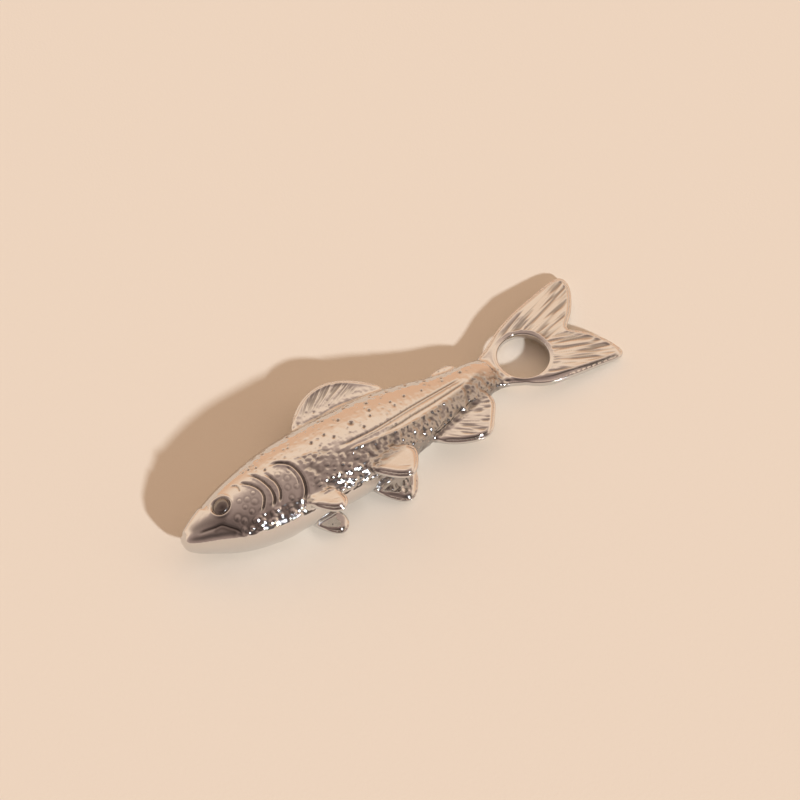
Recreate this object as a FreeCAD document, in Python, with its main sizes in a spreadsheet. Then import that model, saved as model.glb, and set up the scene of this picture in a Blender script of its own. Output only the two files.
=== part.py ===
"""Trout bottle opener: a cast fish with a steel cap lifter let into its underside.

Row frame, millimetres: +X towards the tail, +Y towards the fish's back, +Z up.
The fish lies on its right flank, on the plane Z = 0. The origin is on that plane,
under the middle of the whole object. The hole in the tail is centred on Y = 0.

Three pieces: fish_casting, cap_lifter and lifter_screws. Nothing moves.
"""
import FreeCAD, Part
import math
import os
import Sketcher

NODES_FOLDER = "parts"

# ---------------------------------------------------------------- driving sizes

SIZES = [
    # the fish as a whole
    ("overall_length", 121.2, "nose to the tips of the tail"),
    ("overall_height", 36.8, "crest of the dorsal fin to the tip of the right pelvic fin"),
    ("body_depth", 23.4, "back to belly at the deepest section"),
    ("body_thickness", 16.0, "flank to flank at the thickest section, before the flat is cut"),
    # tail
    ("tail_length", 36.0, "tail plate, from its root inside the body to its tips"),
    ("tail_span", 28.2, "tip to tip"),
    ("tail_plate", 2.5, "thickness of the tail round the hole"),
    ("tail_rise", 3.35, "height of the tail's middle plane round the hole"),
    ("tail_bend_from_tips", 16.5, "tips of the tail to the line where it starts to slope down"),
    ("tail_tip_plate", 2.0, "thickness at the tips"),
    ("tail_tip_rise", 1.4, "height of the middle of the tips"),
    ("hang_hole_diameter", 13.0, "hole in the root of the tail"),
    ("hang_hole_from_tips", 23.5, "tips of the tail to the middle of the hole"),
    ("stalk_gap", 1.2, "end of the body to the edge of the hole"),
    ("stalk_end_half", 4.4, "half the height of the body where it ends inside the tail"),
    # fins on the middle plane
    ("dorsal_from_nose", 36.6, "nose to the front of the dorsal fin"),
    ("dorsal_chord", 25.6, "length of the dorsal fin along the back"),
    ("dorsal_plate", 2.2, "thickness of the dorsal fin"),
    ("adipose_from_nose", 72.4, "nose to the front of the adipose fin"),
    ("adipose_chord", 8.6, "length of the adipose fin"),
    ("adipose_crest", 7.7, "middle line to the top of the adipose fin"),
    ("adipose_plate", 2.0, "thickness of the adipose fin"),
    ("anal_from_nose", 64.2, "nose to the front of the anal fin"),
    ("anal_chord", 19.6, "length of the anal fin"),
    ("anal_drop", 14.9, "middle line to the lowest point of the anal fin"),
    ("anal_plate", 2.0, "thickness of the anal fin"),
    # paired fins
    ("pectoral_from_nose", 28.2, "nose to the front of the pectoral fins"),
    ("pectoral_chord", 8.6, "length of a pectoral fin along the body"),
    ("pectoral_reach", 17.3, "middle line to the tip of a pectoral fin"),
    ("pelvic_from_nose", 45.6, "nose to the front of the pelvic fins"),
    ("pelvic_chord", 12.2, "length of a pelvic fin along the body"),
    ("paired_plate", 1.9, "thickness of a pectoral or pelvic fin"),
    ("paired_splay", 12.0, "angle between a paired fin and the middle plane, in degrees"),
    ("paired_root", 9.5, "middle line to the line that the paired fins splay about"),
    ("left_fin_rise", 11.7, "height of the left fins at their roots"),
    ("right_fin_rise", 3.5, "height of the right fins at their roots"),
    # eyes
    ("eye_radius", 2.9, "radius of an eye"),
    ("eye_from_nose", 12.2, "nose to the middle of an eye"),
    ("eye_line", -0.3, "how far the eyes are above the middle line"),
    ("eye_proud", 0.7, "how far an eye stands out of the head"),
    # crown cap and the space for it
    ("cap_diameter", 28.8, "crown cap, crimped on a bottle"),
    ("cap_side_gap", 0.8, "room around the cap"),
    ("cap_tilt", 22.0, "slope of the recess's ceiling, in degrees"),
    ("fulcrum_from_nose", 51.0, "nose to the edge that bears on the cap"),
    ("tooth_grip", 2.2, "how far the tooth reaches under the cap's rim"),
    ("opener_line", -0.6, "middle line of the recess, the lifter and its screws"),
    # lifter
    ("tooth_from_nose", 31.6, "nose to the edge of the tooth"),
    ("lifter_length", 17.0, "edge of the tooth to the round end"),
    ("lifter_width", 9.0, "width of the lifter"),
    ("lifter_plate", 1.6, "thickness of the lifter"),
    ("lifter_sunk", 0.2, "how far the lifter lies inside the underside"),
    ("tooth_edge", 0.9, "thickness left at the tooth's edge"),
    ("tooth_slope", 3.0, "length of the tooth's slope"),
    ("seat_gap", 0.1, "room around the lifter in its seat"),
    # screws
    ("screw_diameter", 2.4, "shank of a lifter screw"),
    ("screw_head_diameter", 4.4, "countersunk head"),
    ("screw_length", 7.0, "head face to tip"),
    ("screw_pitch", 6.4, "distance between the two screws"),
    ("screw_end_distance", 4.6, "round end of the lifter to the first screw"),
    ("screw_hole_gap", 0.1, "room around the shank in the lifter"),
    ("screw_tip_gap", 0.5, "room past the tip of a screw"),
    ("driver_slot", 0.5, "width of the slots in a screw's head"),
    ("driver_span", 2.6, "length of the slots"),
    ("driver_depth", 0.7, "depth of the slots"),
]

# Body sections from nose to tail: place as a share of the overall length, back and belly
# as shares of the body's depth, half thickness and height of the middle as shares of the
# body's thickness.
SECTION_FIELDS = ("along", "back", "belly", "half", "rise")
SECTIONS = [
    ("nose", 0.0000, 0.008, -0.103, 0.077, 0.395),
    ("lips", 0.0213, 0.075, -0.210, 0.200, 0.395),
    ("jaw", 0.0480, 0.155, -0.293, 0.289, 0.397),
    ("cheek", 0.0891, 0.250, -0.404, 0.394, 0.397),
    ("gill", 0.1708, 0.366, -0.528, 0.476, 0.414),
    ("collar", 0.2356, 0.420, -0.558, 0.500, 0.425),
    ("shoulder", 0.3010, 0.441, -0.559, 0.500, 0.425),
    ("middle", 0.3614, 0.440, -0.555, 0.498, 0.425),
    ("loin", 0.4396, 0.428, -0.500, 0.456, 0.413),
    ("vent", 0.5297, 0.368, -0.393, 0.371, 0.369),
    ("wrist", 0.5950, 0.291, -0.325, 0.288, 0.337),
    ("stalk", 0.6604, 0.246, -0.256, 0.223, 0.289),
]

# Outlines, each a closed curve steered by points around it. The tail's points are shares
# of its length, measured forwards from its tips, and of its span. A fin's are shares of
# its chord, measured back from its front, and of its height off the middle line.
TAIL_OUTLINE = [
    (1.048, 0.009), (1.028, 0.169), (0.933, 0.194), (0.828, 0.249), (0.688, 0.364),
    (0.508, 0.437), (0.317, 0.503), (0.135, 0.569), (0.038, 0.582), (-0.007, 0.553),
    (-0.003, 0.438), (0.057, 0.308), (0.148, 0.159), (0.272, 0.053), (0.210, 0.013),
    (0.125, -0.083), (0.060, -0.203), (0.025, -0.316), (0.013, -0.396), (0.039, -0.437),
    (0.127, -0.430), (0.317, -0.403), (0.508, -0.367), (0.653, -0.317), (0.768, -0.217),
    (0.858, -0.154), (0.948, -0.142), (1.028, -0.132),
]
DORSAL_OUTLINE = [
    (-0.020, 0.420), (0.000, 0.600), (0.100, 0.760), (0.230, 0.905), (0.380, 1.000),
    (0.560, 1.010), (0.740, 0.905), (0.880, 0.740), (0.985, 0.590), (1.010, 0.440),
    (0.850, 0.300), (0.200, 0.300),
]
ADIPOSE_OUTLINE = [
    (-0.050, 0.350), (0.100, 0.850), (0.350, 1.000), (0.650, 1.030), (0.930, 0.980),
    (1.040, 0.800), (0.980, 0.400), (0.500, 0.200),
]
ANAL_OUTLINE = [
    (0.100, -0.300), (-0.010, -0.520), (0.070, -0.680), (0.240, -0.860), (0.430, -0.975),
    (0.620, -1.040), (0.745, -0.985), (0.850, -0.790), (0.985, -0.590), (1.010, -0.400),
    (0.930, -0.220), (0.500, -0.200),
]
PECTORAL_OUTLINE = [
    (0.050, -0.500), (-0.020, -0.620), (0.180, -0.760), (0.420, -0.930), (0.720, -1.025),
    (1.000, -0.940), (1.030, -0.790), (0.880, -0.640), (0.620, -0.520), (0.300, -0.420),
]
PELVIC_OUTLINE = [
    (-0.020, -0.500), (-0.010, -0.630), (0.150, -0.780), (0.330, -0.930), (0.540, -1.020),
    (0.730, -0.975), (0.880, -0.850), (1.010, -0.690), (0.960, -0.560), (0.600, -0.420),
    (0.250, -0.400),
]

# A closed even curve through eight steering points comes this much inside them.
RING_POINTS = 8
RING_SWELL = 6 / (4 + 2 * math.cos(2 * math.pi / RING_POINTS))

WELL_CLEAR = 40.0
SCREW_NAMES = ("front_screw", "rear_screw")


# ---------------------------------------------------------------- sheets and helpers

doc = FreeCAD.newDocument("trout_bottle_opener")


def write_sheet(name, rows):
    """Fill a spreadsheet with plain numbers, one named cell a row."""
    sheet = doc.addObject("Spreadsheet::Sheet", name)
    for number, (alias, value, note) in enumerate(rows, start=1):
        sheet.set(f"A{number}", alias)
        sheet.set(f"B{number}", str(value))
        sheet.set(f"C{number}", note)
        sheet.setAlias(f"B{number}", alias)
    return sheet


def section_rows():
    """One row for each number of each body section."""
    rows = []
    for name, *values in SECTIONS:
        for field, value in zip(SECTION_FIELDS, values):
            rows.append((f"{name}_{field}", value, f"{name} section: {field}"))
    return rows


def size(alias):
    """How an expression names a driving size."""
    return f"Sizes.{alias}"


NOSE = f"(0 - {size('overall_length')} / 2)"
TAIL_TIPS = f"({size('overall_length')} / 2)"


def from_nose(alias):
    """The X of something that is placed by its distance from the nose."""
    return f"({NOSE} + {size(alias)})"


def value_of(expression):
    """The number that an expression gives with the sheets as they are."""
    return float(sizes.evalExpression(expression))


def origin_plane(body, role):
    for feature in body.Origin.OriginFeatures:
        if feature.Role == role:
            return feature
    raise RuntimeError(f"{body.Label} has no {role}")


def new_body(name):
    body = doc.addObject("PartDesign::Body", name)
    body.Label = name
    return body


def new_sketch(body, name, role="XY_Plane", shift=(), turn=None):
    """A sketch on one of the body's own planes, moved by (direction, expression) pairs."""
    sketch = body.newObject("Sketcher::SketchObject", name)
    sketch.AttachmentSupport = [(origin_plane(body, role), "")]
    sketch.MapMode = "FlatFace"
    for direction, expression in shift:
        sketch.setExpression(f"AttachmentOffset.Base.{direction}", expression)
    if turn:
        axis, expression = turn
        sketch.AttachmentOffset = FreeCAD.Placement(FreeCAD.Vector(), FreeCAD.Rotation(axis, 1.0))
        sketch.setExpression("AttachmentOffset.Rotation.Angle", expression)
    return sketch


def hold(sketch, kind, geometry, point, expression, name):
    """Hold a point's distance from the sketch's origin to an expression."""
    number = sketch.addConstraint(
        Sketcher.Constraint(kind, -1, 1, geometry, point, value_of(expression)))
    sketch.renameConstraint(number, name)
    sketch.setExpression(f"Constraints.{name}", expression)


def hold_point(sketch, geometry, point, across, up, name):
    hold(sketch, "DistanceX", geometry, point, across, f"{name}_x")
    hold(sketch, "DistanceY", geometry, point, up, f"{name}_y")


def add_closed_curve(sketch, points):
    """A smooth closed curve whose steering points are held to pairs of expressions."""
    places = [FreeCAD.Vector(value_of(across), value_of(up), 0) for across, up in points]
    normal = FreeCAD.Vector(0, 0, 1)
    knobs = [sketch.addGeometry(Part.Circle(place, normal, 1.0), True) for place in places]
    sketch.addConstraint(Sketcher.Constraint("Weight", knobs[0], 1.0))
    for knob in knobs[1:]:
        sketch.addConstraint(Sketcher.Constraint("Equal", knobs[0], knob))
    curve = Part.BSplineCurve(places, None, None, True, 3, None, False)
    drawn = sketch.addGeometry(curve, False)
    for order, knob in enumerate(knobs):
        sketch.addConstraint(Sketcher.Constraint(
            "InternalAlignment:Sketcher::BSplineControlPoint", knob, 3, drawn, order))
    for order, (knob, (across, up)) in enumerate(zip(knobs, points)):
        hold_point(sketch, knob, 3, across, up, f"p{order}")
    return drawn


def add_circle(sketch, across, up, radius, name):
    """A circle whose centre and radius are held to expressions."""
    centre = FreeCAD.Vector(value_of(across), value_of(up), 0)
    circle = sketch.addGeometry(
        Part.Circle(centre, FreeCAD.Vector(0, 0, 1), value_of(radius)), False)
    hold_point(sketch, circle, 3, across, up, name)
    number = sketch.addConstraint(Sketcher.Constraint("Radius", circle, value_of(radius)))
    sketch.renameConstraint(number, f"{name}_radius")
    sketch.setExpression(f"Constraints.{name}_radius", radius)


def add_polygon(sketch, corners):
    """A closed run of straight lines between corners held to pairs of expressions."""
    places = [FreeCAD.Vector(value_of(across), value_of(up), 0) for across, up in corners]
    lines = [sketch.addGeometry(Part.LineSegment(place, places[(order + 1) % len(places)]))
             for order, place in enumerate(places)]
    for order, line in enumerate(lines):
        following = lines[(order + 1) % len(lines)]
        sketch.addConstraint(Sketcher.Constraint("Coincident", line, 2, following, 1))
    for order, (line, (across, up)) in enumerate(zip(lines, corners)):
        hold_point(sketch, line, 1, across, up, f"c{order}")


def pad(body, sketch, length, name, both_ways=False):
    feature = body.newObject("PartDesign::Pad", name)
    feature.Profile = sketch
    feature.setExpression("Length", length)
    feature.Midplane = both_ways
    doc.recompute()
    return feature


def pocket(body, sketch, length, name, against_normal=True, both_ways=False):
    """Cut a sketch out of a body and make sure that something was cut."""
    before = body.Shape.Volume
    feature = body.newObject("PartDesign::Pocket", name)
    feature.Profile = sketch
    feature.setExpression("Length", length)
    feature.Reversed = not against_normal
    feature.Midplane = both_ways
    doc.recompute()
    if feature.Shape.isNull() or feature.Shape.Volume >= before:
        raise RuntimeError(f"{name} cuts nothing")
    return feature


# ---------------------------------------------------------------- fish casting

RECESS_RADIUS = f"({size('cap_diameter')} / 2 + {size('cap_side_gap')})"
RECESS_REACH = (
    f"(({size('fulcrum_from_nose')} - {size('tooth_from_nose')}) * cos({size('cap_tilt')})"
    f" + {size('lifter_sunk')} * sin({size('cap_tilt')})"
    f" + {size('tooth_edge')} * sin({size('cap_tilt')})"
    f" + {size('tooth_grip')} - {size('cap_diameter')} / 2)")
LIFTER_TOP = f"({size('lifter_sunk')} + {size('lifter_plate')})"
LIFTER_END = f"({from_nose('tooth_from_nose')} - {size('lifter_length')})"
FIRST_SCREW = f"({LIFTER_END} + {size('screw_end_distance')})"
SCREW_PLACES = (FIRST_SCREW, f"({FIRST_SCREW} + {size('screw_pitch')})")
HOLE_MIDDLE = f"({TAIL_TIPS} - {size('hang_hole_from_tips')})"


def section_curve(middle, half_depth, centre_height, half_thickness):
    """Steering points of an oval section, from its back round over the left flank."""
    points = []
    for step in range(RING_POINTS):
        angle = 2 * math.pi * step / RING_POINTS
        across = RING_SWELL * math.cos(angle)
        up = RING_SWELL * math.sin(angle)
        points.append((f"{middle} + {half_depth} * {across:.5f}",
                       f"{centre_height} + {half_thickness} * {up:.5f}"))
    return points


def add_body_sections(body):
    """The oval sections that the body is lofted through, the last one inside the tail."""
    sketches = []
    for name, *_ in SECTIONS:
        place = f"{NOSE} + Sections.{name}_along * {size('overall_length')}"
        sketch = new_sketch(body, f"{name}_section", "YZ_Plane", [("z", place)])
        depth = size("body_depth")
        thickness = size("body_thickness")
        middle = f"(Sections.{name}_back + Sections.{name}_belly) / 2 * {depth}"
        half_depth = f"(Sections.{name}_back - Sections.{name}_belly) / 2 * {depth}"
        add_closed_curve(sketch, section_curve(
            middle, half_depth,
            f"Sections.{name}_rise * {thickness}", f"Sections.{name}_half * {thickness}"))
        sketches.append(sketch)
    end = (f"{HOLE_MIDDLE} - {size('hang_hole_diameter')} / 2 - {size('stalk_gap')}")
    sketch = new_sketch(body, "end_section", "YZ_Plane", [("z", end)])
    add_closed_curve(sketch, section_curve(
        "0", size("stalk_end_half"), size("tail_rise"), f"{size('tail_plate')} / 3"))
    sketches.append(sketch)
    return sketches


def add_fin(body, name, outline, chord, front, height, plate, rise):
    """A fin on the middle plane, padded both ways from its own middle."""
    sketch = new_sketch(body, f"{name}_outline", "XY_Plane", [("z", rise)])
    points = [(f"{front} + {along} * {chord}", f"{up} * {height}") for along, up in outline]
    add_closed_curve(sketch, points)
    return pad(body, sketch, plate, name, both_ways=True)


def add_paired_fin(body, name, outline, chord, front, reach, rise, splay):
    """A fin that splays about a line along the body, near its root."""
    root = size("paired_root")
    sketch = new_sketch(body, f"{name}_outline", "XY_Plane",
                        [("y", f"0 - {root}"), ("z", rise)],
                        (FreeCAD.Vector(1, 0, 0), splay))
    points = [(f"{front} + {along} * {chord}", f"{root} + {up} * {reach}")
              for along, up in outline]
    add_closed_curve(sketch, points)
    return pad(body, sketch, size("paired_plate"), name, both_ways=True)


def add_tail(body):
    """A plate, level round the hole and sloping down to the tips behind it."""
    top = f"({size('tail_rise')} + {size('tail_plate')} / 2)"
    bottom = f"({size('tail_rise')} - {size('tail_plate')} / 2)"
    tip_top = f"({size('tail_tip_rise')} + {size('tail_tip_plate')} / 2)"
    tip_bottom = f"({size('tail_tip_rise')} - {size('tail_tip_plate')} / 2)"
    bend = f"({TAIL_TIPS} - {size('tail_bend_from_tips')})"
    sketch = new_sketch(body, "tail_outline")
    points = [(f"{TAIL_TIPS} - {along} * {size('tail_length')}", f"{up} * {size('tail_span')}")
              for along, up in TAIL_OUTLINE]
    add_closed_curve(sketch, points)
    pad(body, sketch, top, "tail")

    share = f"(1 + {size('tail_plate')} / {size('tail_bend_from_tips')})"
    behind = f"({TAIL_TIPS} + {size('tail_plate')})"
    over = f"({top} + {size('tail_plate')})"
    above = new_sketch(body, "above_tail_outline", "XZ_Plane")
    add_polygon(above, [(bend, top), (behind, f"{top} - ({top} - {tip_top}) * {share}"),
                        (behind, over), (bend, over)])
    pocket(body, above, f"2 * {size('tail_span')}", "tail_top_slope", both_ways=True)

    ahead = f"({TAIL_TIPS} - 2 * {size('tail_length')})"
    below = new_sketch(body, "below_tail_outline", "XZ_Plane")
    under = f"(0 - {size('tail_plate')})"
    add_polygon(below, [(bend, bottom), (ahead, bottom), (ahead, under), (behind, under),
                        (behind, f"{bottom} - ({bottom} - {tip_bottom}) * {share}")])
    pocket(body, below, f"2 * {size('tail_span')}", "tail_bottom_slope", both_ways=True)


def add_fish_body(body):
    """The solid body of the fish, lofted from nose to tail."""
    sketches = add_body_sections(body)
    doc.recompute()
    loft = body.newObject("PartDesign::AdditiveLoft", "fish_body")
    loft.Profile = sketches[0]
    loft.Sections = sketches[1:]
    loft.Ruled = False
    loft.Closed = False
    doc.recompute()


def add_fins(body):
    half_height = f"({size('overall_height')} / 2)"
    thickness = size("body_thickness")
    add_fin(body, "dorsal_fin", DORSAL_OUTLINE, size("dorsal_chord"),
            from_nose("dorsal_from_nose"), half_height, size("dorsal_plate"),
            f"Sections.middle_rise * {thickness}")
    add_fin(body, "adipose_fin", ADIPOSE_OUTLINE, size("adipose_chord"),
            from_nose("adipose_from_nose"), size("adipose_crest"), size("adipose_plate"),
            f"Sections.stalk_rise * {thickness}")
    add_fin(body, "anal_fin", ANAL_OUTLINE, size("anal_chord"),
            from_nose("anal_from_nose"), size("anal_drop"), size("anal_plate"),
            f"Sections.wrist_rise * {thickness}")
    sides = (("left", f"0 - {size('paired_splay')}"), ("right", size("paired_splay")))
    for side, splay in sides:
        rise = size(f"{side}_fin_rise")
        add_paired_fin(body, f"{side}_pectoral", PECTORAL_OUTLINE, size("pectoral_chord"),
                       from_nose("pectoral_from_nose"), size("pectoral_reach"), rise, splay)
        add_paired_fin(body, f"{side}_pelvic", PELVIC_OUTLINE, size("pelvic_chord"),
                       from_nose("pelvic_from_nose"), half_height, rise, splay)


def add_eye(body):
    """The left eye, a low dome. The right one would be ground away with the underside."""
    thickness = size("body_thickness")
    middle = f"Sections.cheek_rise * {thickness}"
    half = f"Sections.cheek_half * {thickness}"
    eye = body.newObject("PartDesign::AdditiveSphere", "left_eye")
    eye.setExpression("Radius", size("eye_radius"))
    eye.setExpression("Placement.Base.x", from_nose("eye_from_nose"))
    eye.setExpression("Placement.Base.y", size("eye_line"))
    eye.setExpression("Placement.Base.z",
                      f"{middle} + {half} + {size('eye_proud')} - {size('eye_radius')}")
    doc.recompute()


def cut_flat(body):
    """Take off everything below the plane that the fish lies on."""
    before = body.Shape.Volume
    block = body.newObject("PartDesign::SubtractiveBox", "underside")
    length = size("overall_length")
    block.setExpression("Length", f"2 * {length}")
    block.setExpression("Width", f"2 * {length}")
    block.setExpression("Height", size("body_thickness"))
    block.setExpression("Placement.Base.x", f"0 - {length}")
    block.setExpression("Placement.Base.y", f"0 - {length}")
    block.setExpression("Placement.Base.z", f"0 - {size('body_thickness')}")
    doc.recompute()
    if block.Shape.isNull() or block.Shape.Volume >= before:
        raise RuntimeError("underside cuts nothing")


def cut_cap_recess(body):
    """The sloping imprint of a crown cap, deepest at the tooth."""
    along = (f"{from_nose('fulcrum_from_nose')}"
             f" - {RECESS_REACH} * cos({size('cap_tilt')})")
    rise = f"{RECESS_REACH} * sin({size('cap_tilt')})"
    sketch = new_sketch(body, "cap_recess_outline", "XY_Plane",
                        [("x", along), ("y", size("opener_line")), ("z", rise)],
                        (FreeCAD.Vector(0, 1, 0), size("cap_tilt")))
    add_circle(sketch, "0", "0", RECESS_RADIUS, "recess")
    pocket(body, sketch, str(WELL_CLEAR), "cap_recess")


def lifter_outline(sketch, grow, tooth_x):
    """Round-ended plate outline, larger all round by an expression, open to the tooth."""
    half = f"({size('lifter_width')} / 2 + {grow})"
    middle = size("opener_line")
    centre_x = f"({LIFTER_END} + {size('lifter_width')} / 2)"
    upper = f"{middle} + {half}"
    lower = f"{middle} - {half}"
    centre = FreeCAD.Vector(value_of(centre_x), value_of(middle), 0)
    radius = value_of(half)
    right_x = value_of(tooth_x)
    top = centre + FreeCAD.Vector(0, radius, 0)
    bottom = centre - FreeCAD.Vector(0, radius, 0)
    top_end = FreeCAD.Vector(right_x, top.y, 0)
    bottom_end = FreeCAD.Vector(right_x, bottom.y, 0)
    circle = Part.Circle(centre, FreeCAD.Vector(0, 0, 1), radius)
    arc = sketch.addGeometry(Part.ArcOfCircle(circle, math.pi / 2, 3 * math.pi / 2))
    low = sketch.addGeometry(Part.LineSegment(bottom, bottom_end))
    edge = sketch.addGeometry(Part.LineSegment(bottom_end, top_end))
    high = sketch.addGeometry(Part.LineSegment(top_end, top))
    for first, first_end, second, second_end in (
            (arc, 2, low, 1), (low, 2, edge, 1), (edge, 2, high, 1), (high, 2, arc, 1)):
        sketch.addConstraint(Sketcher.Constraint(
            "Coincident", first, first_end, second, second_end))
    hold_point(sketch, arc, 3, centre_x, middle, "round_end")
    hold_point(sketch, low, 2, tooth_x, lower, "lower_corner")
    hold_point(sketch, edge, 2, tooth_x, upper, "upper_corner")
    hold_point(sketch, low, 1, centre_x, lower, "lower_start")
    hold(sketch, "DistanceX", high, 2, centre_x, "upper_start_x")


def cut_lifter_seat(body):
    sketch = new_sketch(body, "lifter_seat_outline")
    lifter_outline(sketch, size("seat_gap"), from_nose("tooth_from_nose"))
    pocket(body, sketch, LIFTER_TOP, "lifter_seat", against_normal=False)


def cut_screw_holes(body):
    sketch = new_sketch(body, "screw_hole_outline")
    for name, place in zip(SCREW_NAMES, SCREW_PLACES):
        add_circle(sketch, place, size("opener_line"), f"{size('screw_diameter')} / 2", name)
    depth = f"{size('lifter_sunk')} + {size('screw_length')} + {size('screw_tip_gap')}"
    pocket(body, sketch, depth, "screw_holes", against_normal=False)


def cut_hang_hole(body):
    sketch = new_sketch(body, "hang_hole_outline")
    add_circle(sketch, HOLE_MIDDLE, "0", f"{size('hang_hole_diameter')} / 2", "hang_hole")
    pocket(body, sketch, str(WELL_CLEAR), "hang_hole", both_ways=True)


def make_fish_casting():
    body = new_body("fish_casting")
    add_tail(body)
    add_fish_body(body)
    cut_flat(body)
    cut_cap_recess(body)
    cut_lifter_seat(body)
    cut_screw_holes(body)
    cut_hang_hole(body)
    add_eye(body)
    add_fins(body)
    return body


# ---------------------------------------------------------------- cap lifter

def make_cap_lifter():
    """A stamped plate with a sloping tooth and two countersunk holes."""
    body = new_body("cap_lifter")
    sketch = new_sketch(body, "plate_outline", "XY_Plane", [("z", size("lifter_sunk"))])
    lifter_outline(sketch, "0", from_nose("tooth_from_nose"))
    pad(body, sketch, size("lifter_plate"), "plate")

    tooth = new_sketch(body, "tooth_slope_outline", "XZ_Plane",
                       [("z", f"0 - {size('opener_line')}")])
    tip = from_nose("tooth_from_nose")
    edge_top = f"{size('lifter_sunk')} + {size('tooth_edge')}"
    add_polygon(tooth, [(tip, edge_top), (tip, f"{LIFTER_TOP} + {size('tooth_edge')}"),
                        (f"{tip} - {size('tooth_slope')}",
                         f"{LIFTER_TOP} + {size('tooth_edge')}"),
                        (f"{tip} - {size('tooth_slope')}", LIFTER_TOP)])
    pocket(body, tooth, f"2 * {size('lifter_width')}", "tooth_slope", both_ways=True)

    holes = new_sketch(body, "plate_hole_outline")
    radius = f"{size('screw_diameter')} / 2 + {size('screw_hole_gap')}"
    for name, place in zip(SCREW_NAMES, SCREW_PLACES):
        add_circle(holes, place, size("opener_line"), radius, name)
    pocket(body, holes, str(WELL_CLEAR), "plate_holes", both_ways=True)

    for name, place in zip(SCREW_NAMES, SCREW_PLACES):
        sink = body.newObject("PartDesign::SubtractiveCone", f"{name}_countersink")
        head = f"({size('screw_head_diameter')} / 2)"
        shank = f"({size('screw_diameter')} / 2)"
        sink.setExpression("Radius1", head)
        sink.setExpression("Radius2", shank)
        sink.setExpression("Height", f"{head} - {shank}")
        sink.setExpression("Placement.Base.x", place)
        sink.setExpression("Placement.Base.y", size("opener_line"))
        sink.setExpression("Placement.Base.z", size("lifter_sunk"))
        doc.recompute()
    return body


# ---------------------------------------------------------------- screws

def make_screw(name, place):
    """A countersunk screw, head down, with a cross of two slots in its head."""
    head_radius = f"({size('screw_head_diameter')} / 2)"
    shank_radius = f"({size('screw_diameter')} / 2)"
    head_height = f"({head_radius} - {shank_radius})"
    head = doc.addObject("Part::Cone", f"{name}_head")
    head.setExpression("Radius1", head_radius)
    head.setExpression("Radius2", shank_radius)
    head.setExpression("Height", head_height)
    shank = doc.addObject("Part::Cylinder", f"{name}_shank")
    shank.setExpression("Radius", shank_radius)
    shank.setExpression("Height", f"{size('screw_length')} - {head_height}")
    for piece, lift in ((head, "0"), (shank, head_height)):
        piece.setExpression("Placement.Base.x", place)
        piece.setExpression("Placement.Base.y", size("opener_line"))
        piece.setExpression("Placement.Base.z", f"{size('lifter_sunk')} + {lift}")
    whole = doc.addObject("Part::Fuse", f"{name}_blank")
    whole.Base = head
    whole.Tool = shank
    spans = {"along": (size("driver_span"), size("driver_slot")),
             "across": (size("driver_slot"), size("driver_span"))}
    for way, (length, width) in spans.items():
        slot = doc.addObject("Part::Box", f"{name}_slot_{way}")
        slot.setExpression("Length", length)
        slot.setExpression("Width", width)
        slot.setExpression("Height", size("driver_depth"))
        slot.setExpression("Placement.Base.x", f"{place} - {length} / 2")
        slot.setExpression("Placement.Base.y", f"{size('opener_line')} - {width} / 2")
        slot.setExpression("Placement.Base.z", size("lifter_sunk"))
        cut = doc.addObject("Part::Cut", f"{name}_cut_{way}")
        cut.Base = whole
        cut.Tool = slot
        whole = cut
    return whole


def make_lifter_screws():
    """Both screws, as separate solids of one node."""
    pair = doc.addObject("Part::Compound", "lifter_screws")
    pair.Label = "lifter_screws"
    pair.Links = [make_screw(name, place) for name, place in zip(SCREW_NAMES, SCREW_PLACES)]
    return pair


# ---------------------------------------------------------------- build, test, write

def check_document():
    for item in doc.Objects:
        if "Invalid" in item.State or "Error" in item.State:
            raise RuntimeError(f"{item.Name} failed: {item.State}")


def check_shape(node, solids):
    shape = node.Shape
    if shape.isNull() or not shape.isValid():
        raise RuntimeError(f"{node.Label} has no valid shape")
    if len(shape.Solids) != solids:
        raise RuntimeError(f"{node.Label} has {len(shape.Solids)} solids, not {solids}")


sizes = write_sheet("Sizes", SIZES)
write_sheet("Sections", section_rows())
doc.recompute()

nodes = [(make_fish_casting(), 1), (make_cap_lifter(), 1), (make_lifter_screws(), len(SCREW_NAMES))]
doc.recompute()
check_document()
os.makedirs(NODES_FOLDER, exist_ok=True)
for node, solids in nodes:
    check_shape(node, solids)
    node.Shape.exportStep(os.path.join(NODES_FOLDER, f"{node.Label}.step"))
    box = node.Shape.BoundBox
    print(f"{node.Label}: volume {node.Shape.Volume:.1f} mm3,"
          f" X {box.XMin:.2f} to {box.XMax:.2f}, Y {box.YMin:.2f} to {box.YMax:.2f},"
          f" Z {box.ZMin:.2f} to {box.ZMax:.2f}")
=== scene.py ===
"""The looks of the trout bottle opener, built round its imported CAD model.

Row frame: +X towards the tail, +Y towards the fish's back, +Z up, the fish lying on Z = 0.
Sizes below are in millimetres, and places on the fish are measured back from its nose (X) and
up from the line that runs through the middle of the hole in its tail (Y).
"""

import itertools
import math

import bpy
import numpy as np
import openvdb
from mathutils import Matrix, Vector


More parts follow.
